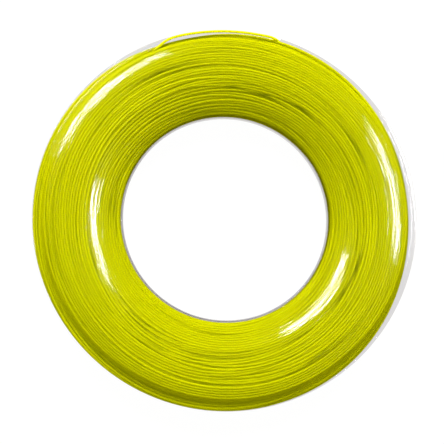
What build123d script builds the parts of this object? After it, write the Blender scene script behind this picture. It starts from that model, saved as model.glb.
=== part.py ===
from build123d import *
from math import asin, cos, degrees, pi, radians, sin, tan
import os

# A reel of racket string: two clear moulded half shells that clip together round an open bore, the string
# wound between them, and the string's outer end locked on the front shell's rim.
# Millimetres. The reel lies flat: +Z is its axis, and Z = 0 is the rear shell's flat land.

# Overall sizes
rim_radius = 95.0
bore_radius = 51.2
reel_width = 28.0

# Shell section, the same for both halves
wall = 1.1
bore_straight = 3.6          # length of the bore's straight part, across both halves
corner_radius = 4.0          # where the bore turns into the core side of the dome
rim_arc_radius = 30.0        # rim side of the dome
land_inner_radius = 78.0     # flat land on the crest of the dome
land_outer_radius = 80.5
shoulder_slope = 17.0        # degrees of fall where the dome ends at the shoulder
shoulder_radius = 2.0
step_slope = 66.0            # degrees of fall on the step below the shoulder
lip_fillet_radius = 1.5
lip_drop = 5.6               # from the land down to the lip's outer face

# Clip at the middle plane: a spigot on the front sleeve seats in a collar on the rear sleeve, within the wall
collar_reach = 2.5
collar_clearance = 0.1
bead_radius = 0.2
bead_height = 1.2

# String
string_diameter = 1.3
winding_clearance = 0.3
winding_inset = 1.6          # the winding swells out between the lips to this far inside the rim

# Outer end of the string: out through a window in the step, along the lip, down through a notch
window_angle = 112.4
window_clearance = 0.6       # above the string as it passes through
window_run = 8.4             # the string slopes out through the step over this many walls
notch_angle = 75.2
notch_run = 5.0              # and down through the lip over this many
notch_clearance = 0.15       # inside the string as it passes through
lip_run_inset = 1.0          # from the rim to the middle of the string on the lip
seat_clearance = 0.05        # under the string where it lies on the lip

# Places worked out from the sizes above
half_width = reel_width / 2
lip_height = half_width - lip_drop
corner_centre = (bore_radius + corner_radius, bore_straight / 2)
core_run = land_inner_radius - corner_centre[0]
core_rise = half_width - corner_centre[1]
core_arc_radius = (core_run**2 + core_rise**2 - corner_radius**2) / (core_rise - corner_radius) / 2
corner_slope = degrees(asin(core_run / (core_arc_radius - corner_radius)))
core_centre = (land_inner_radius, half_width - core_arc_radius)
rim_centre = (land_outer_radius, half_width - rim_arc_radius)
shoulder_centre = (
    rim_centre[0] + (rim_arc_radius - shoulder_radius) * sin(radians(shoulder_slope)),
    rim_centre[1] + (rim_arc_radius - shoulder_radius) * cos(radians(shoulder_slope)),
)
step_top_height = shoulder_centre[1] + shoulder_radius * cos(radians(step_slope))
step_top_radius = shoulder_centre[0] + shoulder_radius * sin(radians(step_slope))
fillet_drop = lip_fillet_radius * (1 - cos(radians(step_slope)))
step_drop = step_top_height - lip_height - fillet_drop
step_run = step_drop / sin(radians(step_slope)) * cos(radians(step_slope))
fillet_centre = (
    step_top_radius + step_run + lip_fillet_radius * sin(radians(step_slope)),
    lip_height + lip_fillet_radius,
)
spigot_radius = bore_radius + (wall - collar_clearance) / 2
collar_radius = spigot_radius + collar_clearance
winding_depth = wall + winding_clearance
winding_radius = rim_radius - winding_inset
window_height = string_diameter + window_clearance
window_length = string_diameter + window_run * wall
notch_length = string_diameter + notch_run * wall
notch_depth = lip_run_inset + string_diameter / 2 + notch_clearance


def on_arc(centre, radius, slope):
    """Point of a section arc where its face falls by slope degrees towards the rim."""
    return (centre[0] + radius * sin(radians(slope)), centre[1] + radius * cos(radians(slope)))


def section_arc(centre, radius, first, last):
    """Arc of the section from one slope to another; a hollow arc has a negative radius."""
    middle = (first + last) / 2
    ThreePointArc(on_arc(centre, radius, first), on_arc(centre, radius, middle), on_arc(centre, radius, last))


def bore_to_step(depth):
    """Draws the section from the middle plane at the bore to the lip's fillet, depth below the outer face."""
    core_radius = core_arc_radius - depth
    dome_radius = rim_arc_radius - depth
    bend_radius = shoulder_radius - depth
    hollow_radius = -(lip_fillet_radius + depth)
    Line((bore_radius + depth, 0), (bore_radius + depth, corner_centre[1]))
    section_arc(corner_centre, corner_radius - depth, -90, -corner_slope)
    section_arc(core_centre, core_radius, -corner_slope, 0)
    Line((land_inner_radius, half_width - depth), (land_outer_radius, half_width - depth))
    section_arc(rim_centre, dome_radius, 0, shoulder_slope)
    section_arc(shoulder_centre, bend_radius, shoulder_slope, step_slope)
    Line(on_arc(shoulder_centre, bend_radius, step_slope), on_arc(fillet_centre, hollow_radius, step_slope))
    section_arc(fillet_centre, hollow_radius, step_slope, 0)


def half_shell_section():
    """Wall of one half shell, above the middle plane, with a round rim."""
    rim_middle = lip_height - wall / 2
    with BuildSketch(Plane.XZ) as section:
        with BuildLine():
            bore_to_step(0)
            Line((fillet_centre[0], lip_height), (rim_radius - wall / 2, lip_height))
            ThreePointArc(
                (rim_radius - wall / 2, lip_height),
                (rim_radius, rim_middle),
                (rim_radius - wall / 2, lip_height - wall),
            )
            Line((rim_radius - wall / 2, lip_height - wall), (fillet_centre[0], lip_height - wall))
            bore_to_step(wall)
            Line((bore_radius, 0), (bore_radius + wall, 0))
        make_face()
    return section.sketch


def ring(inner, outer, low, high):
    """Plain ring about the axis."""
    return Pos(0, 0, low) * (
        Cylinder(outer, high - low, align=(Align.CENTER, Align.CENTER, Align.MIN))
        - Cylinder(inner, high - low, align=(Align.CENTER, Align.CENTER, Align.MIN))
    )


def bead(radius):
    """Round ring on the front sleeve's spigot, or, a little larger, its groove in the collar."""
    return Pos(0, 0, bead_height) * Torus(spigot_radius, radius)


def string_window():
    """Block that cuts the window through the step, down to the lip's outer face."""
    block = Box(6 * wall, window_length, window_height, align=(Align.CENTER, Align.CENTER, Align.MIN))
    return Rot(0, 0, window_angle) * Pos(step_top_radius, 0, lip_height + seat_clearance) * block


def string_notch():
    """Block with round ends that cuts the notch into the lip's edge."""
    block = extrude(SlotOverall(notch_length, 2 * notch_depth, rotation=90), 2 * wall, both=True)
    return Rot(0, 0, notch_angle) * Pos(rim_radius, 0, lip_height) * block


def front_shell():
    half = revolve(half_shell_section(), Axis.Z)
    half -= ring(spigot_radius, bore_radius + 2 * wall, -wall, collar_reach + collar_clearance)
    half += bead(bead_radius) & ring(bore_radius + wall / 4, rim_radius, 0, collar_reach)
    half -= string_window()
    half -= string_notch()
    return half


def rear_shell():
    half = mirror(revolve(half_shell_section(), Axis.Z), about=Plane.XY)
    half += ring(collar_radius, bore_radius + wall, -wall, collar_reach)
    half -= bead(bead_radius + collar_clearance)
    return half


def string_winding():
    """Closed solid of the winding's outer shape, clear of the shells."""
    lip_side = lip_height - winding_depth
    with BuildSketch(Plane.XZ) as section:
        with BuildLine():
            bore_to_step(winding_depth)
            Line((fillet_centre[0], lip_side), (winding_radius, lip_side))
            Line((winding_radius, lip_side), (winding_radius, 0))
            Line((winding_radius, 0), (bore_radius + winding_depth, 0))
        make_face()
    half = revolve(section.sketch, Axis.Z)
    return half + mirror(half, about=Plane.XY)


def string_end():
    """Outer end of the string, from under the shoulder to its cut end in the slot, by angle, radius and height."""
    seat = lip_height + seat_clearance + string_diameter / 2
    step_at_seat = step_top_radius + (step_top_height - seat) / tan(radians(step_slope))
    lip_run = rim_radius - lip_run_inset
    route = [
        (121.5, step_at_seat - 3.2, seat - 0.3),
        (115.8, step_at_seat - 2.3, seat),
        (109.2, step_at_seat + 2.3, seat),
        (104.0, lip_run + 0.2, seat),
        (97.5, lip_run, seat),
        (91.0, lip_run, seat),
        (84.5, lip_run, seat),
        (79.6, lip_run, seat),
        (76.4, lip_run + 0.2, seat),
        (74.6, lip_run + 0.2, seat - 1.5),
        (73.2, lip_run + 0.1, seat - 3.7),
        (71.8, lip_run - 0.1, seat - 6.0),
    ]
    points = [
        Vector(radius * cos(radians(angle)), radius * sin(radians(angle)), height)
        for angle, radius, height in route
    ]
    runs = [after - before for before, after in zip(points, points[1:])]
    radii = []
    for before, after in zip(runs, runs[1:]):
        half_turn = radians(before.get_angle(after)) / 2
        radii.append(0.45 * min(before.length, after.length) / tan(half_turn))
    print("bends of the string's end", [round(radius, 1) for radius in radii])
    path = FilletPolyline(*points, radius=radii)
    rod = sweep(Plane(points[0], z_dir=runs[0]) * Circle(string_diameter / 2), path)
    plain_volume = pi * string_diameter**2 / 4 * path.length
    print("end's volume over its section times its length", round(rod.volume / plain_volume, 4))
    return rod


def main():
    os.makedirs("parts", exist_ok=True)
    lift = Pos(0, 0, half_width)
    end = string_end()
    pieces = {
        "front_shell": front_shell(),
        "rear_shell": rear_shell(),
        "string_winding": string_winding() - end,
        "string_end": end,
    }
    for name, piece in pieces.items():
        export_step(lift * piece, f"parts/{name}.step")
        print(name, round(piece.volume, 1))
    string_length = 200.0
    turns_volume = pi * (string_diameter / 2) ** 2 * string_length * 1000
    filled = turns_volume / pieces["string_winding"].volume
    print("share of the winding's space that 200 m of string fills", round(filled, 3))
    print("straight bore", round(2 * corner_centre[1], 2), "lip starts at", round(fillet_centre[0], 2))


main()
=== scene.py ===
import bpy, bmesh, math
import numpy as np
from mathutils import Matrix, Vector


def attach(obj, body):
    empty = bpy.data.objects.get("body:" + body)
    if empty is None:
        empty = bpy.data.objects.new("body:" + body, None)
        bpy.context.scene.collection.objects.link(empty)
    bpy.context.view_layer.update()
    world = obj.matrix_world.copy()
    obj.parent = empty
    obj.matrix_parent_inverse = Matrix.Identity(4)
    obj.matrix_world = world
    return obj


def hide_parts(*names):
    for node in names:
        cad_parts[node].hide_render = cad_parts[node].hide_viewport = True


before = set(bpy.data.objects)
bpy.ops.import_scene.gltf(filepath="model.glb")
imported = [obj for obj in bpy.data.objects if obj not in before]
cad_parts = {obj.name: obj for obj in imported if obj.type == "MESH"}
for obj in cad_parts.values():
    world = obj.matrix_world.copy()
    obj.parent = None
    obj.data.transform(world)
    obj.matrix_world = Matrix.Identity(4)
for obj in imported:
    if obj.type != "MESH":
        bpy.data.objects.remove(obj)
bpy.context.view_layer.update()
MM = 0.001

# Sizes of the reel, in millimetres from its middle plane, as the CAD gives them
RIM_RADIUS = 95.0
BORE_RADIUS = 51.2
HALF_WIDTH = 14.0
WALL = 1.1
BORE_STRAIGHT = 3.6
CORNER_RADIUS = 4.0
LAND_INNER = 78.0
LAND_OUTER = 80.5
DOME_RADIUS = 30.0
SHOULDER_SLOPE = 17.0
SHOULDER_RADIUS = 2.0
STEP_SLOPE = 66.0
LIP_FILLET = 1.5
LIP_HEIGHT = 8.4
CLIP_CLEARANCE = 0.1
SPIGOT_RADIUS = BORE_RADIUS + (WALL - CLIP_CLEARANCE) / 2
COLLAR_RADIUS = SPIGOT_RADIUS + CLIP_CLEARANCE
COLLAR_REACH = 2.5
BEAD_RADIUS = 0.2
BEAD_HEIGHT = 1.2
EDGE_EASE = 0.12
STRING_DIAMETER = 1.3
WINDOW_ANGLE = 112.4
WINDOW_LENGTH = STRING_DIAMETER + 8.4 * WALL
WINDOW_CLEARANCE = 0.6
NOTCH_ANGLE = 75.2
NOTCH_LENGTH = STRING_DIAMETER + 5.0 * WALL
NOTCH_CLEARANCE = 0.15
LIP_RUN_INSET = 1.0
SEAT_CLEARANCE = 0.05

# Places worked out from them
CORNER_CENTRE = (BORE_RADIUS + CORNER_RADIUS, BORE_STRAIGHT / 2)
CORE_RUN = LAND_INNER - CORNER_CENTRE[0]
CORE_RISE = HALF_WIDTH - CORNER_CENTRE[1]
CORE_RADIUS = (CORE_RUN**2 + CORE_RISE**2 - CORNER_RADIUS**2) / (CORE_RISE - CORNER_RADIUS) / 2
CORE_SLOPE = math.degrees(math.asin(CORE_RUN / (CORE_RADIUS - CORNER_RADIUS)))
CORE_CENTRE = (LAND_INNER, HALF_WIDTH - CORE_RADIUS)
DOME_CENTRE = (LAND_OUTER, HALF_WIDTH - DOME_RADIUS)


def on_arc(centre, radius, slope):
    """Point of a section arc where its face falls by slope degrees towards the rim."""
    turn = math.radians(slope)
    return (centre[0] + radius * math.sin(turn), centre[1] + radius * math.cos(turn))


SHOULDER_CENTRE = on_arc(DOME_CENTRE, DOME_RADIUS - SHOULDER_RADIUS, SHOULDER_SLOPE)
STEP_TOP = on_arc(SHOULDER_CENTRE, SHOULDER_RADIUS, STEP_SLOPE)
STEP_DROP = STEP_TOP[1] - LIP_HEIGHT - LIP_FILLET * (1 - math.cos(math.radians(STEP_SLOPE)))
STEP_RUN = STEP_DROP / math.tan(math.radians(STEP_SLOPE))
FILLET_RADIUS_AT = STEP_TOP[0] + STEP_RUN + LIP_FILLET * math.sin(math.radians(STEP_SLOPE))
FILLET_CENTRE = (FILLET_RADIUS_AT, LIP_HEIGHT + LIP_FILLET)


def section_arc(centre, radius, first, last, step=4.0):
    """Points along a section arc, both ends in."""
    count = max(3, int(abs(last - first) / step) + 1)
    return [on_arc(centre, radius, first + (last - first) * i / count) for i in range(count + 1)]


def bore_to_lip(depth):
    """Half outline from the middle plane at the bore to the lip's fillet, depth below the outer face."""
    points = [(BORE_RADIUS + depth, 0.0)]
    points += section_arc(CORNER_CENTRE, CORNER_RADIUS - depth, -90, -CORE_SLOPE, 6)
    points += section_arc(CORE_CENTRE, CORE_RADIUS - depth, -CORE_SLOPE, 0, 3)[1:]
    points += section_arc(DOME_CENTRE, DOME_RADIUS - depth, 0, SHOULDER_SLOPE, 3)
    points += section_arc(SHOULDER_CENTRE, SHOULDER_RADIUS - depth, SHOULDER_SLOPE, STEP_SLOPE, 6)[1:]
    points += section_arc(FILLET_CENTRE, -(LIP_FILLET + depth), STEP_SLOPE, 0, 8)
    return points


# ---------------------------------------------------------------- the winding

STRING_LENGTH = 200000.0
STATIONS = 36
START_ANGLE = 121.5
STRING_GAP = 0.06
STIFF_REACH = 3.4
LAST_REACH = 1.4
REACH_WINDOW = 7
TUBE_FULLNESS = 1.14
ROW_STEP = 1.27
SIDE_STEP = 1.47
FIRST_ROW_GAP = 0.1
LAST_ROW_INSET = 1.2
ROOM_TOLERANCE = 0.02
SECTION_MIDDLE = np.array([73.5, 0.0])
SECTION_HALVES = np.array([21.0, 12.0])
STIR_ONCE, STIR_TWICE = 0.35, 0.18
STIR_START = 1.0
STIR_AT_WALL = 0.35
# waves round the reel, waves across and deep per millimetre, size in millimetres, start in radians
EDDIES = (
    (1, 0.30, 0.35, 2.2, 0.4),
    (2, 0.42, 0.30, 1.8, 2.1),
    (3, 0.36, 0.50, 1.3, 4.0),
    (2, 0.22, 0.55, 1.7, 5.2),
)
BUNDLE_TURNS = 4
BUNDLE_WAVES = 9
BUNDLE_DRIFT = (4.4, 2.6)
STRETCH_STATIONS = 12
STRETCH_DRIFT = (0.8, 0.5)
SPRING = 0.035
NEIGHBOUR_REACH = 1.7
NEIGHBOUR_ROUNDS = 10
WALL_ROUNDS = 20
WALL_PUSH = 2.0
SHIFT_SHARE = 0.9
ROUNDS, QUICK_ROUNDS = 160, 80
GRID_STEP = 0.1
GRID_LOW = (BORE_RADIUS, -HALF_WIDTH)
GRID_HIGH = (RIM_RADIUS + 4, HALF_WIDTH)
PAST_RIM = 6
RIM_GAP = 0.15
# middle in degrees, depth in millimetres and width in degrees of each dip of the winding below the rim
RIM_DIPS = ((2, 3.8, 38.0), (104, 2.3, 20.0))


def winding_room():
    """Closed outline in which the middle of the string stays, between the shells."""
    outline = bore_to_lip(WALL + STRING_GAP + STRING_DIAMETER / 2)[1:]
    outline += [(RIM_RADIUS + PAST_RIM, outline[-1][1])]
    return np.array(outline + [(r, -z) for r, z in reversed(outline)])


def distance_grid(outline, low, high, step):
    """Signed distance to a closed outline on a grid, negative inside."""
    rs = np.arange(low[0], high[0], step)
    zs = np.arange(low[1], high[1], step)
    r, z = np.meshgrid(rs, zs, indexing="ij")
    spots = np.stack([r.ravel(), z.ravel()], 1)
    nearest = np.full(len(spots), 1e9)
    inside = np.zeros(len(spots), bool)
    for start, end in zip(outline, np.roll(outline, -1, 0)):
        edge = end - start
        if edge @ edge < 1e-12:
            continue
        along = np.clip(((spots - start) @ edge) / (edge @ edge), 0, 1)
        nearest = np.minimum(nearest, np.linalg.norm(spots - (start + along[:, None] * edge), axis=1))
        if start[1] != end[1]:
            spans = (start[1] > spots[:, 1]) != (end[1] > spots[:, 1])
            crossing = start[0] + (spots[:, 1] - start[1]) * (end[0] - start[0]) / (end[1] - start[1])
            inside ^= spans & (spots[:, 0] < crossing)
    return np.where(inside, -nearest, nearest).reshape(r.shape)


def outer_limit(angle):
    """How far out the winding bulges between the lips, by angle in degrees."""
    limit = RIM_RADIUS - RIM_GAP
    for middle, depth, width in RIM_DIPS:
        off = (angle - middle + 180) % 360 - 180
        limit = limit - depth * np.exp(-((off / width) ** 2))
    return limit


def sample(grid, spots):
    """Value of a grid between its nodes."""
    u = np.clip((spots[..., 0] - GRID_LOW[0]) / GRID_STEP, 0, grid.shape[0] - 1.001)
    v = np.clip((spots[..., 1] - GRID_LOW[1]) / GRID_STEP, 0, grid.shape[1] - 1.001)
    i, j = u.astype(int), v.astype(int)
    fu, fv = u - i, v - j
    return (grid[i, j] * (1 - fu) * (1 - fv) + grid[i + 1, j] * fu * (1 - fv)
            + grid[i, j + 1] * (1 - fu) * fv + grid[i + 1, j + 1] * fu * fv)


def section_places(room):
    """Places of the turns in the section: rows from the core outwards, to and fro across the reel."""
    places = []
    row = 0
    r = BORE_RADIUS + WALL + STRING_GAP + STRING_DIAMETER / 2 + FIRST_ROW_GAP
    while r < RIM_RADIUS - LAST_ROW_INSET:
        across = np.arange(-HALF_WIDTH, HALF_WIDTH, SIDE_STEP) + (row % 2) * SIDE_STEP / 2
        spots = np.stack([np.full(len(across), r), across], 1)
        spots = spots[sample(room, spots) < ROOM_TOLERANCE]
        places += [tuple(p) for p in (spots if row % 2 == 0 else spots[::-1])]
        row += 1
        r += ROW_STEP
    return np.array(places)


def stirred(spots, angles):
    """The turns stirred on their way round, slowly as a whole and then in eddies, so that they change places."""
    flat = (spots - SECTION_MIDDLE) / SECTION_HALVES
    depth = np.clip(1 - np.hypot(flat[..., 0], flat[..., 1]), 0, 1)
    sway = STIR_ONCE * np.sin(angles) + STIR_TWICE * np.sin(2 * angles + STIR_START)
    stir = sway[None, :] * (STIR_AT_WALL + depth)
    flat = np.stack([flat[..., 0] * np.cos(stir) - flat[..., 1] * np.sin(stir),
                     flat[..., 0] * np.sin(stir) + flat[..., 1] * np.cos(stir)], -1)
    spots = SECTION_MIDDLE + flat * SECTION_HALVES
    # each eddy is a loop that comes back to where it began
    for waves, across, deep, size, at in EDDIES:
        way = np.sin(waves * angles + at)[None, :] * size
        r, z = spots[..., 0] * across, spots[..., 1] * deep
        spots = spots + np.stack([way * np.sin(r + at) * np.cos(z),
                                  -way * across / deep * np.cos(r + at) * np.sin(z)], -1)
    return spots


def knots_and_blend(t):
    """Knot before each place and the weights of the four knots round it, for a smooth random line."""
    k = t.astype(int)
    f = t - k
    weights = ((1 - f) ** 3, 3 * f**3 - 6 * f**2 + 4, -3 * f**3 + 3 * f**2 + 3 * f + 1, f**3)
    return k, np.stack(weights, 1) / 6


def wandering(spots, turns, station):
    """The turns with a random drift: a few wander together as a bundle, and each stretch a little by itself."""
    rng = np.random.default_rng(11)
    count = len(spots)
    knots = rng.normal(0, 1, (turns // BUNDLE_TURNS + 6, BUNDLE_WAVES, 2))
    k, blend = knots_and_blend(np.arange(count) / STATIONS / BUNDLE_TURNS)
    m, round_blend = knots_and_blend(station * BUNDLE_WAVES / STATIONS)
    spots = spots + np.array(BUNDLE_DRIFT) * sum(
        blend[:, a:a + 1] * round_blend[:, b:b + 1] * knots[k + a, (m + b) % BUNDLE_WAVES]
        for a in range(4) for b in range(4))
    knots = rng.normal(0, 1, (count // STRETCH_STATIONS + 6, 2))
    k, blend = knots_and_blend(np.arange(count) / STRETCH_STATIONS)
    return spots + np.array(STRETCH_DRIFT) * sum(blend[:, a:a + 1] * knots[k + a] for a in range(4))


def along(field, spread=STIFF_REACH):
    """Spreads a field along the string, so that a stiff string moves as a smooth stretch."""
    bend = np.exp(-0.5 * (np.arange(-REACH_WINDOW, REACH_WINDOW + 1) / spread) ** 2)
    padded = np.pad(field, ((REACH_WINDOW, REACH_WINDOW), (0, 0)), "edge")
    return np.stack([np.convolve(padded[:, axis], bend / bend.sum(), "valid") for axis in range(2)], 1)


def neighbours(spots, station):
    """Pairs of turns that lie near each other at a station, as two lists."""
    reach = NEIGHBOUR_REACH * STRING_DIAMETER
    first, second = [], []
    for s in range(STATIONS):
        here = np.nonzero(station == s)[0]
        p = spots[here]
        gap = p[:, None, :] - p[None, :, :]
        near = (gap**2).sum(-1) < reach**2
        i, j = np.nonzero(np.triu(near, 1))
        first.append(here[i])
        second.append(here[j])
    return np.concatenate(first), np.concatenate(second)


def push_apart(spots, first, second):
    """Move that takes each pair of neighbours a diameter apart, half of it for each of the two."""
    gap = spots[first] - spots[second]
    length = np.hypot(gap[:, 0], gap[:, 1]) + 1e-9
    push = np.clip(STRING_DIAMETER - length, 0, None) * 0.5 / length
    move = gap * push[:, None]
    shift = np.zeros_like(spots)
    for axis in range(2):
        shift[:, axis] = np.bincount(first, move[:, axis], len(spots))
        shift[:, axis] -= np.bincount(second, move[:, axis], len(spots))
    return shift


def relaxed(spots, station, limit, room, rounds):
    """The turns pushed apart, out against the shells and back inside them, round after round."""
    slopes = np.gradient(room, GRID_STEP)
    for done in range(rounds):
        if done % NEIGHBOUR_ROUNDS == 0:
            first, second = neighbours(spots, station)
        shift = push_apart(spots, first, second)
        # the winding springs out against the shells, so the loose room stays inside it
        spring = (spots - SECTION_MIDDLE) / SECTION_HALVES**2
        shift += SPRING * spring / (np.linalg.norm(spring, axis=1)[:, None] + 0.01)
        over = np.clip(sample(room, spots), 0, None)
        for axis, slope in enumerate(slopes):
            shift[:, axis] -= WALL_PUSH * over * sample(slope, spots)
        shift[:, 0] += WALL_PUSH * np.minimum(limit - spots[:, 0], 0)
        spots = spots + SHIFT_SHARE * along(shift)
        last = done == rounds - 1
        if last:
            spots = along(spots, LAST_REACH)
        if last or done % WALL_ROUNDS == WALL_ROUNDS - 1:
            over = np.clip(sample(room, spots), 0, None)
            for axis, slope in enumerate(slopes):
                spots[:, axis] -= over * sample(slope, spots)
            spots[:, 0] = np.minimum(spots[:, 0], limit)
    return spots


def wind_string(rounds):
    """The whole string as stations of one spiral, radius and height, with neighbours pushed apart."""
    room = distance_grid(winding_room(), GRID_LOW, GRID_HIGH, GRID_STEP)
    places = section_places(room)
    turns_wanted = STRING_LENGTH / (2 * math.pi * places[:, 0].mean())
    # the outermost turns are dropped where there are more places than turns
    turns = int(min(len(places) - 1, round(turns_wanted)))
    angles = np.radians(START_ANGLE - 360.0 * np.arange(STATIONS) / STATIONS)
    share = np.linspace(0, 1, STATIONS, endpoint=False)
    start, end = places[:turns], places[1:turns + 1]
    spots = start[:, None, :] + (end - start)[:, None, :] * share[None, :, None]
    spots = stirred(spots, angles).reshape(-1, 2)
    station = np.arange(len(spots)) % STATIONS
    spots = wandering(spots, turns, station)
    limit = outer_limit(np.degrees(angles))[station] - STRING_DIAMETER / 2
    spots = relaxed(along(along(spots)), station, limit, room, rounds)
    return spots, angles, station, turns


def to_space(spots, angles, station):
    """Stations in metres in the row frame."""
    turn = angles[station]
    x, y = spots[:, 0] * np.cos(turn), spots[:, 0] * np.sin(turn)
    return np.stack([x, y, spots[:, 1] + HALF_WIDTH], 1) * MM


# ---------------------------------------------------------------- materials

CLEAR_TINT = (0.873, 0.865, 0.865, 1)
CLEAR_GLOSS_ROUGHNESS = 0.09
CLEAR_GLOSS_SHARE = 0.04
CLEAR_EDGE_SHARE = 0.14
CLEAR_EDGE_POWER = 8.0
MARKS_ACROSS, MARKS_ROUND, MARKS_UP = 650.0, 1.3, 200.0
WAVES_SCALE = 55.0
RELIEF_STRENGTH, RELIEF_HEIGHT = 0.5, 0.00035
MARKS_FADE_START = (RIM_RADIUS - 5.5) * MM
MARKS_FADE_END = (RIM_RADIUS - 3.5) * MM
STRING_DARK = (0.42, 0.43, 0.0, 1)
STRING_BRIGHT = (0.77, 0.785, 0.0, 1)
# painted light: colour of a faint glow that lifts the shade between turns, partly standing for fluorescence
STRING_PAINTED_GLOW = (0.92, 1.0, 0.0, 1)
STRING_SEE_THROUGH = (1.0, 0.9, 0.1)


def new_material(name):
    """A material with only its output node."""
    material = bpy.data.materials.new(name)
    material.use_nodes = True
    nodes, links = material.node_tree.nodes, material.node_tree.links
    nodes.clear()
    output = nodes.new("ShaderNodeOutputMaterial")
    return material, nodes, links, output


def link_math(nodes, links, operation, first, second):
    """A Math node on two inputs, each a socket or a number."""
    node = nodes.new("ShaderNodeMath")
    node.operation = operation
    for socket, value in zip(node.inputs, (first, second)):
        if isinstance(value, (int, float)):
            socket.default_value = value
        else:
            links.new(value, socket)
    return node.outputs[0]


def clear_styrene():
    """Thin clear moulded wall: gloss that grows at grazing angles over a faintly grey see-through body."""
    material, nodes, links, output = new_material("clear_shell_plastic")
    place = nodes.new("ShaderNodeTexCoord")
    split = nodes.new("ShaderNodeSeparateXYZ")
    links.new(place.outputs["Object"], split.inputs[0])
    x, y, z = split.outputs
    x_squared = link_math(nodes, links, "MULTIPLY", x, x)
    y_squared = link_math(nodes, links, "MULTIPLY", y, y)
    radius = link_math(nodes, links, "SQRT", link_math(nodes, links, "ADD", x_squared, y_squared), 0.0)
    turn = link_math(nodes, links, "ARCTAN2", y, x)
    # turning marks of the mould: long round the reel, fine across it, none on the lip
    marks_at = nodes.new("ShaderNodeCombineXYZ")
    for axis, (value, scale) in enumerate(((radius, MARKS_ACROSS), (turn, MARKS_ROUND), (z, MARKS_UP))):
        links.new(link_math(nodes, links, "MULTIPLY", value, scale), marks_at.inputs[axis])
    marks = nodes.new("ShaderNodeTexNoise")
    marks.inputs["Scale"].default_value = 1.0
    marks.inputs["Detail"].default_value = 2.0
    links.new(marks_at.outputs[0], marks.inputs["Vector"])
    waves = nodes.new("ShaderNodeTexNoise")
    waves.inputs["Scale"].default_value = WAVES_SCALE
    waves.inputs["Detail"].default_value = 2.0
    links.new(place.outputs["Object"], waves.inputs["Vector"])
    relief = link_math(nodes, links, "ADD", marks.outputs["Fac"], waves.outputs["Fac"])
    fade = nodes.new("ShaderNodeMapRange")
    fade.inputs["From Min"].default_value = MARKS_FADE_START
    fade.inputs["From Max"].default_value = MARKS_FADE_END
    fade.inputs["To Min"].default_value = 1.0
    fade.inputs["To Max"].default_value = 0.0
    links.new(radius, fade.inputs["Value"])
    bump = nodes.new("ShaderNodeBump")
    bump.inputs["Strength"].default_value = RELIEF_STRENGTH
    bump.inputs["Distance"].default_value = RELIEF_HEIGHT
    links.new(link_math(nodes, links, "MULTIPLY", relief, fade.outputs["Result"]), bump.inputs["Height"])
    gloss = nodes.new("ShaderNodeBsdfGlossy")
    gloss.inputs["Color"].default_value = (1, 1, 1, 1)
    gloss.inputs["Roughness"].default_value = CLEAR_GLOSS_ROUGHNESS
    links.new(bump.outputs["Normal"], gloss.inputs["Normal"])
    through = nodes.new("ShaderNodeBsdfTransparent")
    through.inputs["Color"].default_value = CLEAR_TINT
    edge = nodes.new("ShaderNodeLayerWeight")
    edge.inputs["Blend"].default_value = 0.5
    rise = link_math(nodes, links, "POWER", edge.outputs["Facing"], CLEAR_EDGE_POWER)
    at_edge = link_math(nodes, links, "MULTIPLY", rise, CLEAR_EDGE_SHARE)
    share = link_math(nodes, links, "ADD", at_edge, CLEAR_GLOSS_SHARE)
    mix = nodes.new("ShaderNodeMixShader")
    links.new(share, mix.inputs["Fac"])
    links.new(through.outputs["BSDF"], mix.inputs[1])
    links.new(gloss.outputs["BSDF"], mix.inputs[2])
    links.new(mix.outputs["Shader"], output.inputs["Surface"])
    return material


def neon_string():
    """Soft fluorescent monofilament whose yellow varies a little from turn to turn; its faint emission is
    painted light that lifts the shaded crevices between turns, and partly its fluorescence.
    """
    material, nodes, links, output = new_material("neon_yellow_monofilament")
    nylon = nodes.new("ShaderNodeBsdfPrincipled")
    for socket, value in (
        ("Roughness", 0.35), ("IOR", 1.5), ("Specular IOR Level", 0.15),
        ("Subsurface Weight", 1.0), ("Subsurface Radius", STRING_SEE_THROUGH), ("Subsurface Scale", 0.003),
        # painted light: faint emission lifting the shade in the crevices between turns
        ("Emission Color", STRING_PAINTED_GLOW), ("Emission Strength", 0.06),
    ):
        nylon.inputs[socket].default_value = value
    tone_and_shade = nodes.new("ShaderNodeAttribute")
    tone_and_shade.attribute_name = "tone_and_shade"
    ramp = nodes.new("ShaderNodeValToRGB")
    ramp.color_ramp.elements[0].color = STRING_DARK
    ramp.color_ramp.elements[1].color = STRING_BRIGHT
    links.new(tone_and_shade.outputs["Fac"], ramp.inputs["Fac"])
    links.new(ramp.outputs["Color"], nylon.inputs["Base Color"])
    links.new(nylon.outputs["BSDF"], output.inputs["Surface"])
    return material


shell_plastic = clear_styrene()
string_plastic = neon_string()


# ---------------------------------------------------------------- the string as tubes

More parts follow.
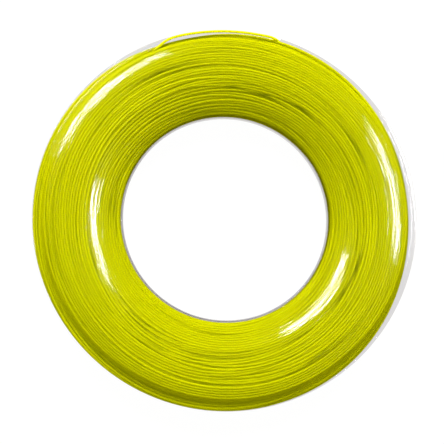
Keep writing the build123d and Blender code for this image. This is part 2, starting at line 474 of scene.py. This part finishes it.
def string_tree():
    """Rounds every chain of edges into a smooth tube of string."""
    tree = bpy.data.node_groups.new("string_tubes", "GeometryNodeTree")
    face = tree.interface
    face.new_socket("Geometry", in_out="INPUT", socket_type="NodeSocketGeometry")
    sizes = {}
    for name, kind, value in (
        ("String diameter", "NodeSocketFloat", STRING_DIAMETER * MM),
        ("Sides", "NodeSocketInt", 8),
        ("Steps between stations", "NodeSocketInt", 4),
    ):
        socket = face.new_socket(name, in_out="INPUT", socket_type=kind)
        socket.default_value = value
        sizes[name] = socket.identifier
    finish = face.new_socket("Finish", in_out="INPUT", socket_type="NodeSocketMaterial")
    sizes["Finish"] = finish.identifier
    face.new_socket("Geometry", in_out="OUTPUT", socket_type="NodeSocketGeometry")
    nodes, links = tree.nodes, tree.links
    given, out = nodes.new("NodeGroupInput"), nodes.new("NodeGroupOutput")
    curve = nodes.new("GeometryNodeMeshToCurve")
    kind = nodes.new("GeometryNodeCurveSplineType")
    kind.spline_type = "CATMULL_ROM"
    smooth = nodes.new("GeometryNodeSetSplineResolution")
    ring = nodes.new("GeometryNodeCurvePrimitiveCircle")
    half = nodes.new("ShaderNodeMath")
    half.operation = "MULTIPLY"
    half.inputs[1].default_value = 0.5
    tube = nodes.new("GeometryNodeCurveToMesh")
    tube.inputs["Fill Caps"].default_value = True
    shade = nodes.new("GeometryNodeSetShadeSmooth")
    real = nodes.new("GeometryNodeRealizeInstances")
    coat = nodes.new("GeometryNodeSetMaterial")
    links.new(given.outputs["Geometry"], curve.inputs["Mesh"])
    links.new(curve.outputs["Curve"], kind.inputs["Curve"])
    links.new(kind.outputs["Curve"], smooth.inputs["Geometry"])
    links.new(given.outputs["Steps between stations"], smooth.inputs["Resolution"])
    links.new(given.outputs["String diameter"], half.inputs[0])
    links.new(half.outputs[0], ring.inputs["Radius"])
    links.new(given.outputs["Sides"], ring.inputs["Resolution"])
    links.new(smooth.outputs["Geometry"], tube.inputs["Curve"])
    links.new(ring.outputs["Curve"], tube.inputs["Profile Curve"])
    links.new(tube.outputs["Mesh"], shade.inputs["Geometry"])
    links.new(shade.outputs["Geometry"], real.inputs["Geometry"])
    links.new(real.outputs["Geometry"], coat.inputs["Geometry"])
    links.new(given.outputs["Finish"], coat.inputs["Material"])
    links.new(coat.outputs["Geometry"], out.inputs["Geometry"])
    return tree, sizes


TUBE_TREE, TUBE_INPUTS = string_tree()


def string_piece(name, points, tone_and_shade, sides=8, steps=4):
    """One piece of the string: a tube along its points, in metres, as a plain mesh."""
    line = bpy.data.meshes.new(name + "_line")
    line.from_pydata([tuple(p) for p in points], [(i, i + 1) for i in range(len(points) - 1)], [])
    shade = line.attributes.new("tone_and_shade", "FLOAT", "POINT")
    shade.data.foreach_set("value", np.asarray(tone_and_shade, np.float32))
    holder = bpy.data.objects.new(name + "_line", line)
    bpy.context.scene.collection.objects.link(holder)
    tubes = holder.modifiers.new("tubes", "NODES")
    tubes.node_group = TUBE_TREE
    tubes[TUBE_INPUTS["String diameter"]] = STRING_DIAMETER * TUBE_FULLNESS * MM
    tubes[TUBE_INPUTS["Sides"]] = sides
    tubes[TUBE_INPUTS["Steps between stations"]] = steps
    tubes[TUBE_INPUTS["Finish"]] = string_plastic
    bpy.context.view_layer.update()
    made = bpy.data.meshes.new_from_object(holder.evaluated_get(bpy.context.evaluated_depsgraph_get()))
    holder.modifiers.remove(tubes)
    bpy.data.objects.remove(holder)
    made.name = name
    piece = bpy.data.objects.new(name, made)
    bpy.context.scene.collection.objects.link(piece)
    return piece


WINDING_PIECES = 6
# how bright the turns are and how much they differ at random, and how many turns are darkened by how much:
# painted shade standing for the dark gaps between strings
TONE_MIDDLE, TONE_SPREAD = 0.85, 0.04
GAP_SHADE_SHARE, GAP_SHADE_DROP = 0.03, 0.5

spots, angles, station, turns = wind_string(ROUNDS)
path = to_space(spots, angles, station)
tone_rng = np.random.default_rng(5)
turn_tone_and_shade = TONE_MIDDLE + TONE_SPREAD * tone_rng.normal(0, 1, turns + 1)
# painted shade: a few turns darkened to stand for the shaded gaps between strings
turn_tone_and_shade[tone_rng.random(turns + 1) < GAP_SHADE_SHARE] -= GAP_SHADE_DROP
tone_and_shade = np.interp(np.arange(len(path)) / STATIONS, np.arange(turns + 1), turn_tone_and_shade).clip(0, 1)
cuts = np.linspace(0, len(path) - 1, WINDING_PIECES + 1).astype(int)
winding_pieces = []
for n, (start, end) in enumerate(zip(cuts[:-1], cuts[1:])):
    winding_pieces.append(string_piece(f"wound_string_{n + 1}", path[start:end + 1], tone_and_shade[start:end + 1]))


# ---------------------------------------------------------------- the shells

SHARP_ANGLE = 35


def lathe(name, outline, segments=240):
    """Closed section turned about the reel's axis, in metres in the row frame, faces outwards."""
    outline = np.array(outline)
    turn = np.linspace(0, 2 * math.pi, segments, endpoint=False)
    count = len(outline)
    r, z = outline[:, 0], outline[:, 1]
    verts = np.stack([np.outer(np.cos(turn), r), np.outer(np.sin(turn), r),
                      np.tile(z + HALF_WIDTH, (segments, 1))], -1).reshape(-1, 3) * MM
    k, i = np.meshgrid(np.arange(segments), np.arange(count), indexing="ij")
    k, i = k.ravel(), i.ravel()
    j, m = (i + 1) % count, (k + 1) % segments
    faces = np.stack([k * count + i, k * count + j, m * count + j, m * count + i], 1)
    mesh = bpy.data.meshes.new(name)
    mesh.from_pydata(verts.tolist(), [], faces.tolist())
    work = bmesh.new()
    work.from_mesh(mesh)
    bmesh.ops.remove_doubles(work, verts=work.verts, dist=1e-7)
    bmesh.ops.recalc_face_normals(work, faces=work.faces)
    work.to_mesh(mesh)
    work.free()
    piece = bpy.data.objects.new(name, mesh)
    bpy.context.scene.collection.objects.link(piece)
    return piece


def half_wall():
    """Section of one half shell above the middle plane, without the mid-plane end of its sleeve."""
    outer = bore_to_lip(0)[1:]
    inner = bore_to_lip(WALL)[1:]
    edge = (RIM_RADIUS - WALL / 2, LIP_HEIGHT - WALL / 2)
    rounding = [on_arc(edge, WALL / 2, slope) for slope in range(0, 181, 20)]
    return outer, rounding, inner[::-1]


def front_section():
    """Front half: its sleeve ends in a thinner spigot with a small bead."""
    outer, rounding, inner = half_wall()
    bead = [(SPIGOT_RADIUS + BEAD_RADIUS * math.cos(math.radians(a)),
             BEAD_HEIGHT + BEAD_RADIUS * math.sin(math.radians(a))) for a in range(90, -91, -30)]
    seat = COLLAR_REACH + CLIP_CLEARANCE
    shoulder = [(BORE_RADIUS + WALL, seat), (SPIGOT_RADIUS, seat)]
    end = [(SPIGOT_RADIUS, 0.0), (BORE_RADIUS + EDGE_EASE, 0.0)]
    return [(BORE_RADIUS, EDGE_EASE)] + outer + rounding + inner + shoulder + bead + end


def rear_section():
    """Rear half: its sleeve goes on into a collar that takes the front one's spigot."""
    outer, rounding, inner = half_wall()
    turned = [(r, -z) for r, z in outer + rounding + inner]
    groove = BEAD_RADIUS + CLIP_CLEARANCE
    reach = math.degrees(math.acos(CLIP_CLEARANCE / groove))
    hollow = [(SPIGOT_RADIUS + groove * math.cos(math.radians(a)),
               BEAD_HEIGHT + groove * math.sin(math.radians(a))) for a in np.linspace(reach, -reach, 7)]
    collar = [(BORE_RADIUS + WALL, COLLAR_REACH), (COLLAR_RADIUS, COLLAR_REACH)]
    end = [(COLLAR_RADIUS, 0.0), (BORE_RADIUS + EDGE_EASE, 0.0)]
    return [(BORE_RADIUS, -EDGE_EASE)] + turned + collar + hollow + end


def block(name, centre, angle, size, round_ends=False):
    """Cutter along the rim at an angle, between two heights; round_ends rounds it in plan."""
    radius, low, high = centre
    length, depth = size
    if round_ends:
        flat = (length - depth) / 2
        plan = [(depth / 2 * math.cos(a), flat + depth / 2 * math.sin(a))
                for a in np.linspace(0, math.pi, 13)]
        plan += [(-x, -y) for x, y in plan]
    else:
        x, y = depth / 2, length / 2
        plan = [(x, -y), (x, y), (-x, y), (-x, -y)]
    work = bmesh.new()
    turn = math.radians(angle)
    rings = []
    for z in (low, high):
        ring = []
        for x, y in plan:
            along, side = x + radius, y
            spot = (along * math.cos(turn) - side * math.sin(turn),
                    along * math.sin(turn) + side * math.cos(turn), z + HALF_WIDTH)
            ring.append(work.verts.new([value * MM for value in spot]))
        rings.append(ring)
    work.faces.new(rings[0][::-1])
    work.faces.new(rings[1])
    for n in range(len(plan)):
        m = (n + 1) % len(plan)
        work.faces.new((rings[0][n], rings[0][m], rings[1][m], rings[1][n]))
    bmesh.ops.recalc_face_normals(work, faces=work.faces)
    mesh = bpy.data.meshes.new(name)
    work.to_mesh(mesh)
    work.free()
    cutter = bpy.data.objects.new(name, mesh)
    bpy.context.scene.collection.objects.link(cutter)
    return cutter


def finish_shell(piece, cutters=()):
    """Cuts the openings, then gives the shell its finish with crisp edges where faces turn sharply."""
    for cutter in cutters:
        cut = piece.modifiers.new("cut", "BOOLEAN")
        cut.operation = "DIFFERENCE"
        cut.solver = "EXACT"
        cut.object = cutter
    bpy.context.view_layer.update()
    made = bpy.data.meshes.new_from_object(piece.evaluated_get(bpy.context.evaluated_depsgraph_get()))
    piece.modifiers.clear()
    old = piece.data
    piece.data = made
    bpy.data.meshes.remove(old)
    for cutter in cutters:
        bpy.data.objects.remove(cutter)
    made.polygons.foreach_set("use_smooth", [True] * len(made.polygons))
    made.set_sharp_from_angle(angle=math.radians(SHARP_ANGLE))
    made.materials.clear()
    made.materials.append(shell_plastic)
    return piece


front = lathe("clear_front_shell", front_section())
rear = lathe("clear_rear_shell", rear_section())
window_foot = LIP_HEIGHT + SEAT_CLEARANCE
window_head = window_foot + STRING_DIAMETER + WINDOW_CLEARANCE
window = block("window", (STEP_TOP[0], window_foot, window_head), WINDOW_ANGLE, (WINDOW_LENGTH, 6 * WALL))
notch_depth = LIP_RUN_INSET + STRING_DIAMETER / 2 + NOTCH_CLEARANCE
notch = block("notch", (RIM_RADIUS, LIP_HEIGHT - 2 * WALL, LIP_HEIGHT + 2 * WALL), NOTCH_ANGLE,
              (NOTCH_LENGTH, 2 * notch_depth), round_ends=True)
finish_shell(front, (window, notch))
finish_shell(rear)


# ---------------------------------------------------------------- the string's outer end

SEAT = LIP_HEIGHT + SEAT_CLEARANCE + STRING_DIAMETER / 2
STEP_AT_SEAT = STEP_TOP[0] + (STEP_TOP[1] - SEAT) / math.tan(math.radians(STEP_SLOPE))
LIP_RUN = RIM_RADIUS - LIP_RUN_INSET
# angle in degrees, radius and height of the points the end is laid by, from the winding to below the notch
END_ROUTE = [
    (121.5, STEP_AT_SEAT - 3.2, SEAT - 0.3),
    (115.8, STEP_AT_SEAT - 2.3, SEAT),
    (109.2, STEP_AT_SEAT + 2.3, SEAT),
    (104.0, LIP_RUN + 0.2, SEAT),
    (97.5, LIP_RUN, SEAT),
    (91.0, LIP_RUN, SEAT),
    (84.5, LIP_RUN, SEAT),
    (79.6, LIP_RUN, SEAT),
    (76.4, LIP_RUN + 0.2, SEAT),
    (74.6, LIP_RUN + 0.2, SEAT - 1.5),
    (73.2, LIP_RUN + 0.1, SEAT - 3.7),
    (71.8, LIP_RUN - 0.1, SEAT - 6.0),
]
# painted shade: the bare end's colour is set darker than the turns', since no clear wall dims the light on it as
# it does on the turns
END_PAINTED_SHADE = 0.25


def string_end():
    """The string's outer end on one smooth NURBS line through its route."""
    curve = bpy.data.curves.new("string_outer_end", "CURVE")
    curve.dimensions = "3D"
    line = curve.splines.new("NURBS")
    line.points.add(len(END_ROUTE) - 1)
    for spot, (angle, radius, height) in zip(line.points, END_ROUTE):
        turn = math.radians(angle)
        place = (radius * math.cos(turn), radius * math.sin(turn), height + HALF_WIDTH)
        spot.co = [value * MM for value in place] + [1]
    line.order_u = 3
    line.use_endpoint_u = True
    line.resolution_u = 12
    curve.bevel_depth = STRING_DIAMETER / 2 * MM
    curve.bevel_resolution = 3
    curve.use_fill_caps = True
    holder = bpy.data.objects.new("string_outer_end", curve)
    bpy.context.scene.collection.objects.link(holder)
    bpy.context.view_layer.update()
    mesh = bpy.data.meshes.new_from_object(holder.evaluated_get(bpy.context.evaluated_depsgraph_get()))
    bpy.data.objects.remove(holder)
    mesh.polygons.foreach_set("use_smooth", [True] * len(mesh.polygons))
    mesh.materials.clear()
    mesh.materials.append(string_plastic)
    shade = mesh.attributes.new("tone_and_shade", "FLOAT", "POINT")
    # painted shade on the bare end, in place of the dimming the clear wall gives the turns
    shade.data.foreach_set("value", np.full(len(mesh.vertices), END_PAINTED_SHADE, np.float32))
    piece = bpy.data.objects.new("string_outer_end", mesh)
    bpy.context.scene.collection.objects.link(piece)
    return piece


outer_end = string_end()

# ---------------------------------------------------------------- who rides and replaces what

for piece in winding_pieces:
    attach(piece, "root")
    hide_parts("string_winding")
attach(outer_end, "root")
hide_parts("string_end")
for piece, node in ((front, "front_shell"), (rear, "rear_shell")):
    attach(piece, "root")
    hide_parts(node)

# ---------------------------------------------------------------- floor, light and camera

FLOOR_HALF = 6
PAPER_GREY = 0.03
PAPER_GLOW = 0.985
ROOM_GLOW = 0.27
# where the camera stands, how much of the reel's plane its frame spans, and the point it looks at
CAMERA_AZIMUTH, CAMERA_TILT, DISTANCE = 240, 9.5, 0.5
FRAME_WIDTH = 0.2220
AIM_SHIFT = (-0.0019, -0.0021, 0)

scene = bpy.context.scene
floor_mesh = bpy.data.meshes.new("floor")
corners = [(x * FLOOR_HALF, y * FLOOR_HALF, 0) for x, y in ((-1, -1), (1, -1), (1, 1), (-1, 1))]
floor_mesh.from_pydata(corners, [], [(0, 1, 2, 3)])
floor = bpy.data.objects.new("floor", floor_mesh)
scene.collection.objects.link(floor)
paper, nodes, links, output = new_material("white_paper")
matte = nodes.new("ShaderNodeBsdfPrincipled")
matte.inputs["Base Color"].default_value = (PAPER_GREY, PAPER_GREY, PAPER_GREY, 1)
matte.inputs["Roughness"].default_value = 1.0
matte.inputs["Specular IOR Level"].default_value = 0.0
matte.inputs["Emission Color"].default_value = (1, 1, 1, 1)
matte.inputs["Emission Strength"].default_value = PAPER_GLOW
links.new(matte.outputs["BSDF"], output.inputs["Surface"])
floor_mesh.materials.append(paper)
floor.visible_glossy = False

world = bpy.data.worlds.new("studio")
scene.world = world
world.use_nodes = True
world.node_tree.nodes["Background"].inputs["Color"].default_value = (1, 1, 1, 1)
world.node_tree.nodes["Background"].inputs["Strength"].default_value = ROOM_GLOW
world.cycles_visibility.glossy = False
scene.view_settings.view_transform = "Standard"

MIDDLE = Vector((0, 0, HALF_WIDTH * MM))


def from_above(azimuth, tilt, distance):
    """Point seen from the reel's middle at an azimuth, tilted from its axis."""
    a, t = math.radians(azimuth), math.radians(tilt)
    return MIDDLE + distance * Vector((math.sin(t) * math.cos(a), math.sin(t) * math.sin(a), math.cos(t)))


def softbox(name, azimuth, tilt, distance, wide, tall, power, only_gloss=False):
    """Oval lamp facing the reel, either for highlights alone or for everything but highlights."""
    lamp = bpy.data.lights.new(name, "AREA")
    lamp.shape = "ELLIPSE"
    lamp.size, lamp.size_y = wide, tall
    lamp.energy = power
    holder = bpy.data.objects.new(name, lamp)
    scene.collection.objects.link(holder)
    holder.location = from_above(azimuth, tilt, distance)
    aim = MIDDLE - holder.location
    holder.rotation_euler = aim.to_track_quat("-Z", "Y").to_euler()
    holder.visible_glossy = only_gloss
    holder.visible_diffuse = not only_gloss


softbox("softbox_left", azimuth=124, tilt=38.5, distance=1.0, wide=0.54, tall=0.07, power=3.2, only_gloss=True)
softbox("softbox_right", azimuth=21, tilt=32.5, distance=1.0, wide=0.38, tall=0.07, power=2.3, only_gloss=True)
softbox("key_top", azimuth=92, tilt=42, distance=1.6, wide=1.6, tall=1.0, power=58.0)
softbox("overhead", azimuth=60, tilt=10, distance=1.6, wide=1.2, tall=1.2, power=3.0)

camera_data = bpy.data.cameras.new("camera")
camera = bpy.data.objects.new("camera", camera_data)
scene.collection.objects.link(camera)
scene.camera = camera
camera_data.lens = camera_data.sensor_width * DISTANCE / FRAME_WIDTH
aim_point = MIDDLE + Vector(AIM_SHIFT)
camera.location = from_above(CAMERA_AZIMUTH, CAMERA_TILT, DISTANCE) + (aim_point - MIDDLE)
back = (camera.location - aim_point).normalized()
right = Vector((0, 1, 0)).cross(back).normalized()
camera.rotation_euler = Matrix((right, back.cross(right), back)).transposed().to_euler()
